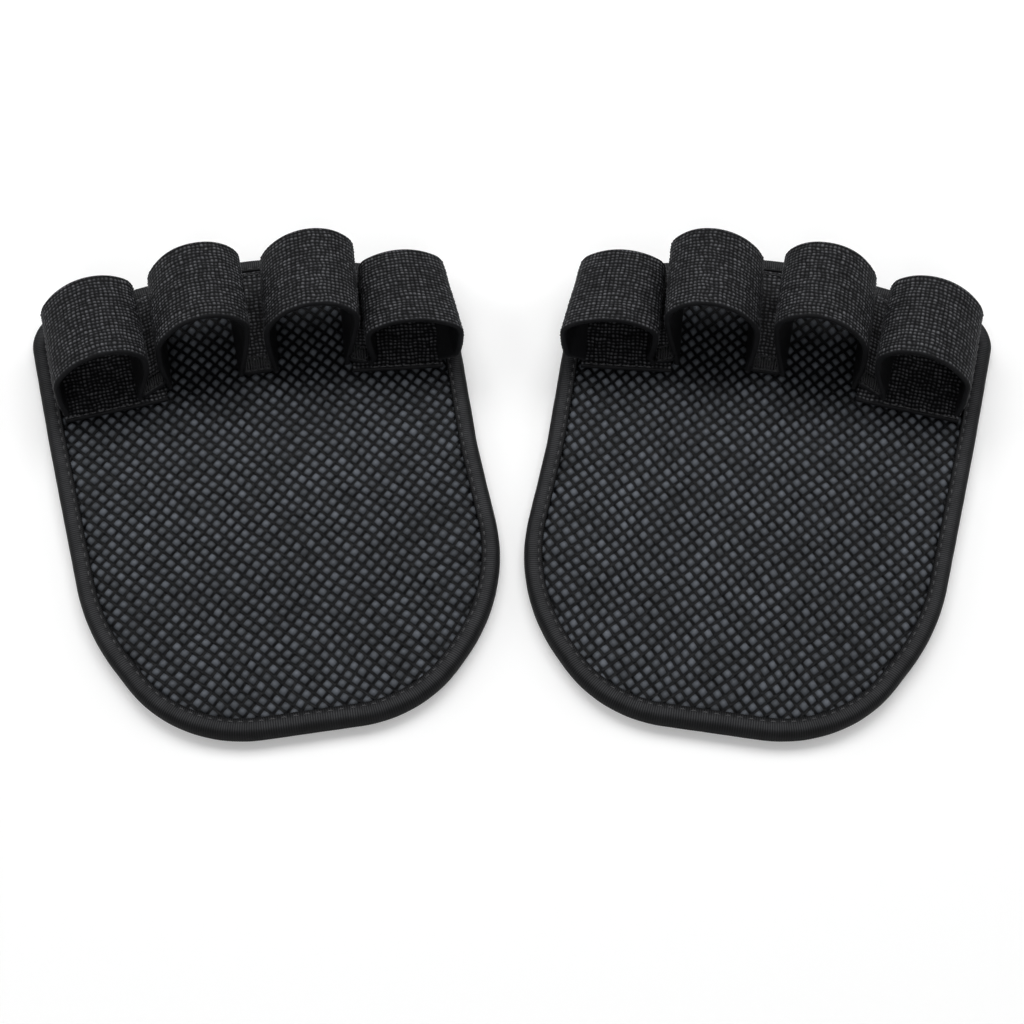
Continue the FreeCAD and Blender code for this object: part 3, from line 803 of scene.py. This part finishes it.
# Once round the strap's section: outer face, front rim, inner face, back rim; position across and depth.
def bandProfile(width, samples, flatEdge=0.55):
    rows = int(round(width / strap["rowPitch"]))
    outer = np.linspace(strap["rim"], width - strap["rim"], rows * samples + 1)
    quarter = np.linspace(0, math.pi, 6)[1:-1]
    half, rim = strap["thick"] / 2, strap["rim"]
    front = width - rim + rim * np.sin(quarter), half - half * np.cos(quarter)
    inner = np.linspace(width - rim, rim, strap["innerRows"])
    back = rim - rim * np.sin(quarter), half + half * np.cos(quarter)
    across = np.concatenate([outer, front[0], inner, back[0]])
    depth = np.concatenate([np.zeros(len(outer)), front[1], np.full(len(inner), strap["thick"]), back[1]])
    outside = np.zeros(len(across))
    outside[:len(outer)] = smooth(0, flatEdge, outer) * (1 - smooth(width - flatEdge, width, outer))
    return across, depth, outside


# Raised yarn blocks: the product of two raised cosines, each block a little higher or lower.
def elasticRelief(along, across, seed):
    p = along / strap["dotPitch"] + waves(along, across, seed + 1, 5.0) * strap["wobble"]
    q = across / strap["rowPitch"] + waves(along, across, seed + 2, 4.0) * strap["wobble"]
    block = (0.5 - 0.5 * np.cos(2 * math.pi * p)) ** 0.4 * (0.5 - 0.5 * np.cos(2 * math.pi * q)) ** 0.6
    uneven = 0.7 + 0.6 * cellRandom(np.floor(p), np.floor(q), seed)
    return block * uneven, cellRandom(np.floor(p), np.floor(q), seed + 3)


# Ruled surface between the back and front arches, its section carried along the arch with yarn relief.
def bandFaces(columns, ringCount):
    ends = np.arange(ringCount)
    return [gridFaces(columns, ringCount, closeColumns=True), ends[None, ::-1],
            (ends + (columns - 1) * ringCount)[None, :]]


def makeLoop(side, finger, seed):
    loop = loops[finger]
    across, depth, outside = bandProfile(strap["width"], strap["samples"])
    ends = {end: archArcs(loop, end) for end in ("back", "front")}
    lengths = sum(arc[1] * np.abs(arc[3] - arc[2]) for arc in ends.values()) / 2
    total = lengths.sum()
    columns = int(round(total / strap["dotPitch"])) * strap["samples"] + 1
    run = np.linspace(0, total, columns)
    before = np.concatenate([[0], np.cumsum(lengths)[:-1]])
    arc = np.minimum(np.searchsorted(np.cumsum(lengths), run, side="left"), 4)
    part = (run - before[arc]) / lengths[arc]
    relief, cell = elasticRelief(run[:, None], across[None, :], seed)
    relief = relief * outside[None, :]
    drop = depth[None, :] - strap["dotDepth"] * (relief - strap["dotLevel"]) * outside[None, :]
    drop = drop + waves(run[:, None], across[None, :], seed, 14.0) * 0.18
    share = across[None, :, None] / strap["width"]
    corners = []
    for end, yEnd in (("back", 0.0), ("front", -strap["width"])):
        centres, radii, starts, stops, tilt = ends[end]
        angle = starts[arc] + part * (stops[arc] - starts[arc])
        x = centres[arc, 0][:, None] + (radii[arc][:, None] - drop) * np.cos(angle)[:, None]
        h = centres[arc, 1][:, None] + (radii[arc][:, None] - drop) * np.sin(angle)[:, None]
        h[0], h[-1] = -strap["footSink"], -strap["footSink"]
        up = np.clip(h / centres[2, 1], 0, 2)
        h = h + (loop["tilt"] * (x - strap["tiltPivot"]) - loop["settle"]) * smooth(0.2, 1.3, up)
        x = x * (1 + loop["widen"] * smooth(0.1, 1.3, up)) + loop["shift"] * smooth(0, 1.6, up)
        corners.append(np.stack([x, yEnd + h * math.sin(tilt), h * math.cos(tilt)], axis=-1))
    local = corners[0] * (1 - share) + corners[1] * share
    baseUp = faceTop + (strap["thick"] if loop["onTail"] else 0.0)
    points = loopPlaced(loop, local[..., 0], local[..., 1], baseUp + local[..., 2]).reshape(-1, 3)
    uv = np.stack(np.broadcast_arrays(run[:, None], across[None, :]), axis=-1).reshape(-1, 2)
    # tone drives the painted shade: gaps between the yarn blocks darkest; rims and the inner face get the
    # plain rimTone
    tone = relief + strap["rimTone"] * (1 - outside[None, :])
    shades = {"relief": np.clip(tone, 0, 1).ravel(),
              "cell": (cell * outside + strap["rimCell"] * (1 - outside)).ravel()}
    piece = makeMesh(side + finger.capitalize() + "Loop", points, bandFaces(columns, len(across)), side, None,
                     [side + "_" + finger + "_loop"], uv=uv, shades=shades)
    centre = placed(loopPlaced(loop, 0.0, -strap["width"] / 2, 0.0), side)
    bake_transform(piece)
    return dress(piece, "elastic")


# folded tails, flats in the gaps
# A strap laid between two edge lines; near the edges it curls up by curl, along a quarter circle.
def strapPatch(left, right, top, curl, seed, width, backReach=0.0):
    across, depth, outside = bandProfile(width + backReach, strap["samples"])
    leftLine, rightLine = left(across - backReach), right(across - backReach)
    span = float(np.linalg.norm(rightLine - leftLine, axis=1).mean())
    columns = max(int(round(span / strap["dotPitch"])), 2) * strap["samples"] + 1
    run = np.linspace(0, span, columns)
    relief, cell = elasticRelief(run[:, None], across[None, :], seed)
    relief = relief * outside[None, :]
    share = (run / span)[:, None, None]
    flat = leftLine[None] * (1 - share) + rightLine[None] * share
    bend = strap["curlRadius"]
    nearEdge = np.clip(bend - np.minimum(run, span - run), 0, bend)
    rise = curl * (bend - np.sqrt(bend ** 2 - nearEdge ** 2 + 1e-9)) / bend
    height = top + rise[:, None] - depth[None, :]
    height = height + strap["dotDepth"] * (relief - strap["dotLevel"]) * outside[None, :]
    points = np.concatenate([flat, height[..., None]], axis=2)
    uv = np.stack(np.broadcast_arrays(run[:, None], across[None, :]), axis=-1).reshape(-1, 2)
    # tone drives the painted shade: gaps between the yarn blocks darkest; rims get the plain rimTone
    tone = np.clip(relief + strap["rimTone"] * (1 - outside[None, :]), 0, 1)
    shades = {"relief": tone.ravel(),
              "cell": (cell * outside + strap["rimCell"] * (1 - outside)).ravel()}
    return points.reshape(-1, 3), bandFaces(columns, len(across)), uv, shades, span


# Several patches as one point list, face list, map and set of shades.
def joined(parts):
    offset, points, quads, caps, uvs, shades = 0, [], [], [], [], []
    for patch, faces, uv, tones, span in parts:
        points.append(patch)
        quads.append(faces[0] + offset)
        caps += [cap + offset for cap in faces[1:]]
        uvs.append(uv)
        shades.append(tones)
        offset += len(patch)
    tones = {word: np.concatenate([patchTones[word] for patchTones in shades]) for word in shades[0]}
    return np.vstack(points), [np.vstack(quads)] + caps, np.vstack(uvs), tones


fingerOrder = list(loops)
gaps = list(zip(fingerOrder[:-1], fingerOrder[1:]))


# Edge lines of a gap: the first loop's right foot and the second loop's left foot.
def gapEdges(first, second, inset=0.0):
    def left(across):
        return loopPlaced(loops[first], loops[first]["base"] / 2 + inset, -across, 0.0)[:, :2]

    def right(across):
        return loopPlaced(loops[second], -loops[second]["base"] / 2 - inset, -across, 0.0)[:, :2]

    return left, right


def gapTop(first, second):
    return faceTop + strap["thick"] * (2 if (first == "index" or second == "little") else 1)


# How far the strap goes on behind the loops, up to the binding.
def gapReach(first, second):
    ends = np.vstack([edge(np.zeros(1)) for edge in gapEdges(first, second)])
    return float(edgeDistance(ends)[0].min()) - tape["width"] - 0.3


def makeFlats(side):
    parts = [strapPatch(*gapEdges(first, second), gapTop(first, second) - 0.05, 1.3, 60 + k, strap["width"],
                        gapReach(first, second)) for k, (first, second) in enumerate(gaps)]
    points, faces, uv, shades = joined(parts)
    piece = makeMesh(side + "StrapFlats", points, faces, side, side + "_grip", [side + "_strap_flats"],
                     uv=uv, shades=shades)
    area = sum(part[4] * (strap["width"] + gapReach(*gap)) for part, gap in zip(parts, gaps))
    longest = strap["width"] + max(gapReach(*gap) for gap in gaps)
    return dress(piece, "elastic")


# Inner edge under the gap's flat, outer edge where the strap meets the binding.
def tailEdges(finger):
    loop = loops[finger]
    sign = -1 if finger == "index" else 1
    left, right = gapEdges(*(gaps[0] if sign < 0 else gaps[-1]))
    farFoot = right if sign < 0 else left
    near = sign * loop["base"] / 2

    def outerEdge(across):
        steps = np.linspace(0, near, 120)
        grid = loopPlaced(loop, steps[:, None], -across[None, :], 0.0)[..., :2]
        within = edgeDistance(grid.reshape(-1, 2))[0].reshape(grid.shape[:2]) > tape["width"] + 0.1
        last = within.shape[0] - 1 - np.argmax(within[::-1], axis=0)
        return grid[last, np.arange(len(across))]

    def innerEdge(across):
        underLoop = np.minimum(across, strap["width"])
        ownFoot = loopPlaced(loop, -near, -underLoop, 0.0)[:, :2]
        reach = np.linalg.norm(farFoot(underLoop) - ownFoot, axis=1).min() - strap["clearance"]
        return loopPlaced(loop, -near - sign * reach, -across, 0.0)[:, :2]

    return (outerEdge, innerEdge) if sign < 0 else (innerEdge, outerEdge)


def makeTail(side, finger, seed):
    points, faces, uv, shades, span = strapPatch(*tailEdges(finger), faceTop + strap["thick"], 0.0, seed,
                                                 strap["width"] + strap["lip"])
    piece = makeMesh(side + finger.capitalize() + "Tail", points, faces, side, side + "_grip",
                     [side + "_" + finger + "_tail"], uv=uv, shades=shades)
    return dress(piece, "elastic")


# bartacks, back seam and tail stitches
tack = {"ribPitch": 0.62, "ribRadius": 0.27, "borderPitch": 1.5, "backSeam": 1.6}


# Straight stitches from start to end points, bowed upwards in the middle.
def flatLines(start, end, rise, bow, steps=5):
    t = np.linspace(0, 1, steps)
    line = start[:, None, :] * (1 - t)[None, :, None] + end[:, None, :] * t[None, :, None]
    height = rise - bow * (2 * t - 1) ** 2
    return np.concatenate([line, np.broadcast_to(height[None, :, None], line.shape[:2] + (1,))], axis=2)


# Thread along straight stitches, its ring standing square to each stitch's own way.
def sewLines(name, side, lines, radius, cadNode, look):
    lines = np.concatenate(lines)
    way = lines[:, -1, :2] - lines[:, 0, :2]
    way /= np.linalg.norm(way, axis=1)[:, None]
    sideways = np.column_stack([way[:, 1], -way[:, 0], np.zeros(len(way))])
    up = np.tile([0.0, 0.0, 1.0], (len(way), 1))
    threadMesh(name, side, lines, -sideways, up, radius, [cadNode], look)


# In each gap: close ribs of thread along the strap's front, a row of stitches above and below, a back
# seam.
def makeBartacks(side):
    lines = []
    for first, second in gaps:
        left, right = gapEdges(first, second, 0.5)
        top = gapTop(first, second)
        width = strap["width"]
        rows = np.array([width - 0.3, width - strap["tackLength"],
                         tack["backSeam"] - gapReach(first, second)])
        l, r = left(rows), right(rows)
        count = int(round(np.linalg.norm(r[0] - l[0]) / tack["ribPitch"]))
        share = ((np.arange(count) + 0.5) / count)[:, None]
        lines.append(flatLines(l[0] * (1 - share) + r[0] * share, l[1] * (1 - share) + r[1] * share,
                               top + 0.22, 0.3))
        for row in (0, 1, 2):
            pieces = int(round(np.linalg.norm(r[row] - l[row]) / tack["borderPitch"]))
            cut = np.arange(pieces + 1)[:, None] / pieces
            knots = l[row] * (1 - cut) + r[row] * cut
            wave = (np.arange(pieces + 1) % 2)[:, None] * (r[row] - l[row])[None, ::-1] * np.array([[-1, 1]])
            knots = knots + (wave * 0.05 if row == 2 else 0)
            lines.append(flatLines(knots[:-1], knots[1:], top + (0.36 if row < 2 else 0.12), 0.2))
    sewLines(side + "Bartacks", side, lines, tack["ribRadius"], side + "_bartacks", "tack")


# Short stitches in a row along the front lip of each folded tail.
def makeTailStitches(side):
    lines = []
    for finger in ("index", "little"):
        loop = loops[finger]
        count = int(round((loop["base"] - 1.4) / 1.9))
        knots = np.linspace(-loop["base"] / 2 + 0.7, loop["base"] / 2 - 0.7, count + 1)
        along = -strap["width"] - strap["lip"] + 0.7
        spots = loopPlaced(loop, knots, along, 0.0)[:, :2]
        start, end = spots[:-1] * 0.93 + spots[1:] * 0.07, spots[:-1] * 0.07 + spots[1:] * 0.93
        lines.append(flatLines(start, end, faceTop + strap["thick"] + 0.06, 0.16))
    sewLines(side + "TailStitches", side, lines, tape["threadRadius"], side + "_tail_stitches", "seam")


for side in ("left", "right"):
    for order, finger in enumerate(fingerOrder):
        makeLoop(side, finger, 40 + order)
    for order, finger in enumerate(("index", "little")):
        makeTail(side, finger, 50 + order)
    makeFlats(side)
    makeBartacks(side)
    makeTailStitches(side)
    print(side, "straps made")
